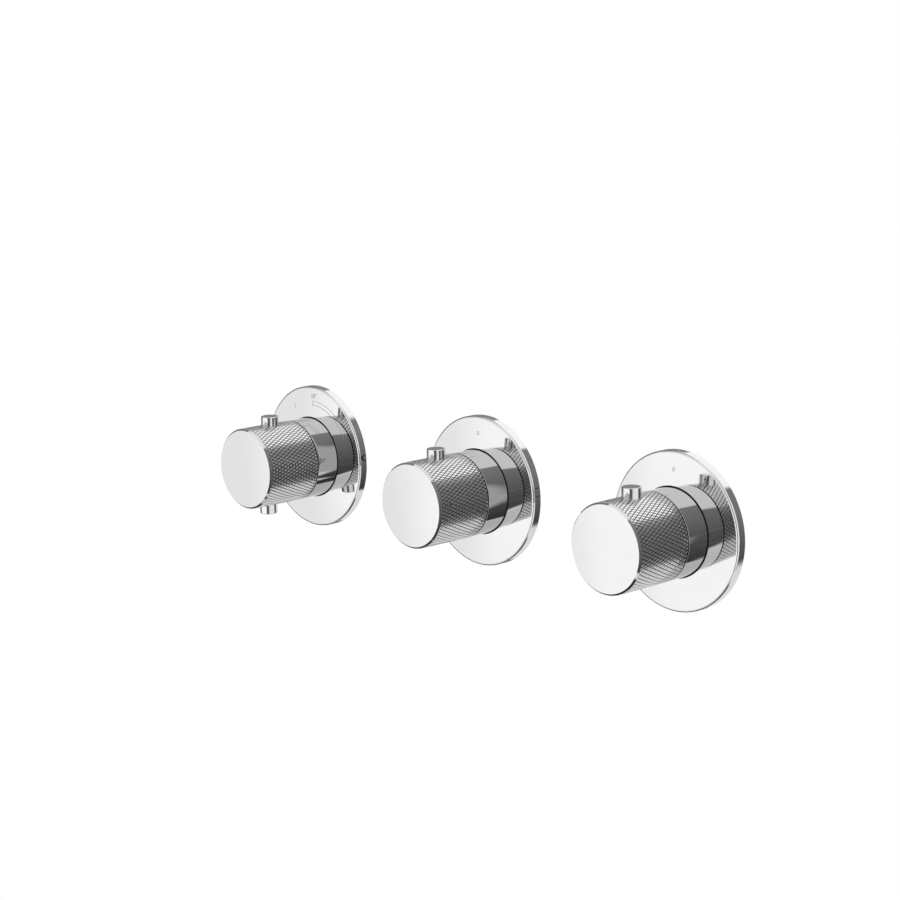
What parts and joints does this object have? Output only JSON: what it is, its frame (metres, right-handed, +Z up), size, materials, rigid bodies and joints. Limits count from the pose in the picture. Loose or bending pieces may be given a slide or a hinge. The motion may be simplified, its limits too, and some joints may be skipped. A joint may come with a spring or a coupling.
{
  "type": "concealed thermostatic shower valve",
  "caption": "Concealed shower valve: knurled chrome knobs on round wall plates, temperature control with a stop button and flow controls, joined to brass bodies on a rail behind the wall.",
  "frame": {"origin": "where the middle valve axis meets the finished wall plane", "axes": "+X to the right along the row of valves, -Y out of the wall towards the user, +Z up"},
  "size_m": [0.3066, 0.1187, 0.098],
  "materials": {
    "trim_chrome": "polished chrome plate",
    "knob_chrome": "polished chrome plate over a diamond knurl",
    "pin_chrome": "polished chrome plate",
    "black_rubber": "smooth",
    "grey_foam": "closed-cell foam",
    "forged_brass": "shot-blasted forging",
    "machined_brass": "turned",
    "copper": "drawn copper",
    "zinc_steel": "zinc plated",
    "stainless": "bright",
    "white_acetal": "moulded",
    "ceramic": "lapped ceramic"
  },
  "bodies": {
    "valve_set": {"mounting_rail": "zinc_steel", "rail_screws": "stainless", "thermo_body": "forged_brass", "flow_body_1": "forged_brass", "flow_body_2": "forged_brass", "link_tube_1": "machined_brass", "link_tube_2": "machined_brass", "gallery_plug": "machined_brass", "body_seals": "black_rubber", "inlet_filters": "white_acetal", "check_valve_bodies": "white_acetal", "thermo_housing": "machined_brass", "thermo_base": "white_acetal", "thermo_nut": "machined_brass", "stop_ring": "white_acetal", "temp_sleeve": "trim_chrome", "temp_plate": "trim_chrome", "plate_seal_rings": "black_rubber", "plate_gaskets": "grey_foam", "flow_housing_1": "machined_brass", "flow_housing_2": "machined_brass", "fixed_disc_1": "ceramic", "fixed_disc_2": "ceramic", "flow_sleeve_1": "trim_chrome", "flow_sleeve_2": "trim_chrome", "flow_plate_1": "trim_chrome", "flow_plate_2": "trim_chrome"},
    "temp_handle": {"temp_knob": "knob_chrome", "temp_knob_cap": "knob_chrome", "temp_knob_insert": "white_acetal", "temp_knob_screw": "stainless", "lower_pin": "pin_chrome", "thermo_spindle": "machined_brass", "override_spring": "stainless"},
    "stop_button": {"override_button": "pin_chrome"},
    "setting": {"setting_nut": "machined_brass", "overload_spring": "stainless", "overload_plunger": "machined_brass", "wax_piston": "stainless"},
    "mixing_shuttle": {"wax_element": "copper", "shuttle": "white_acetal", "shuttle_seal": "black_rubber", "return_spring": "stainless"},
    "hot_check": {"hot_check_poppet": "white_acetal", "hot_check_spring": "stainless"},
    "cold_check": {"cold_check_poppet": "white_acetal", "cold_check_spring": "stainless"},
    "flow_handle_1": {"flow_knob_1": "knob_chrome", "flow_knob_cap_1": "knob_chrome", "flow_pin_1": "pin_chrome", "flow_knob_screw_1": "stainless", "flow_spindle_1": "machined_brass", "moving_disc_1": "ceramic"},
    "flow_handle_2": {"flow_knob_2": "knob_chrome", "flow_knob_cap_2": "knob_chrome", "flow_pin_2": "pin_chrome", "flow_knob_screw_2": "stainless", "flow_spindle_2": "machined_brass", "moving_disc_2": "ceramic"}
  },
  "joints": [
    {"name": "temp_turn", "type": "hinge", "parent": "valve_set", "child": "temp_handle", "pos_m": [-0.1183, 0, 0], "axis": [0, -1, 0], "range_deg": [-180, 30]},
    {"name": "override_press", "type": "slide", "parent": "temp_handle", "child": "stop_button", "axis": [0, 0, -1], "range_m": [0, 0.003], "stiffness_N_per_m": 400, "springref_m": -0.003, "deforming": ["override_spring"]},
    {"name": "setting_slide", "type": "slide", "parent": "valve_set", "child": "setting", "axis": [0, 1, 0], "range_m": [-0.0004, 0.0021]},
    {"name": "shuttle_slide", "type": "slide", "parent": "valve_set", "child": "mixing_shuttle", "axis": [0, 1, 0], "range_m": [-0.0004, 0.0006], "stiffness_N_per_m": 1000, "deforming": ["return_spring"]},
    {"name": "hot_check_slide", "type": "slide", "parent": "valve_set", "child": "hot_check", "axis": [0, 0, 1], "range_m": [0, 0.003], "stiffness_N_per_m": 60, "springref_m": -0.003, "deforming": ["hot_check_spring"]},
    {"name": "cold_check_slide", "type": "slide", "parent": "valve_set", "child": "cold_check", "axis": [0, 0, 1], "range_m": [0, 0.003], "stiffness_N_per_m": 60, "springref_m": -0.003, "deforming": ["cold_check_spring"]},
    {"name": "flow_turn_1", "type": "hinge", "parent": "valve_set", "child": "flow_handle_1", "pos_m": [0, 0, 0], "axis": [0, -1, 0], "range_deg": [0, 90]},
    {"name": "flow_turn_2", "type": "hinge", "parent": "valve_set", "child": "flow_handle_2", "pos_m": [0.1183, 0, 0], "axis": [0, -1, 0], "range_deg": [0, 90]}
  ],
  "couplings": [
    {"joint": "setting_slide", "follows": "temp_turn", "m_per_rad": -0.00063662}
  ]
}
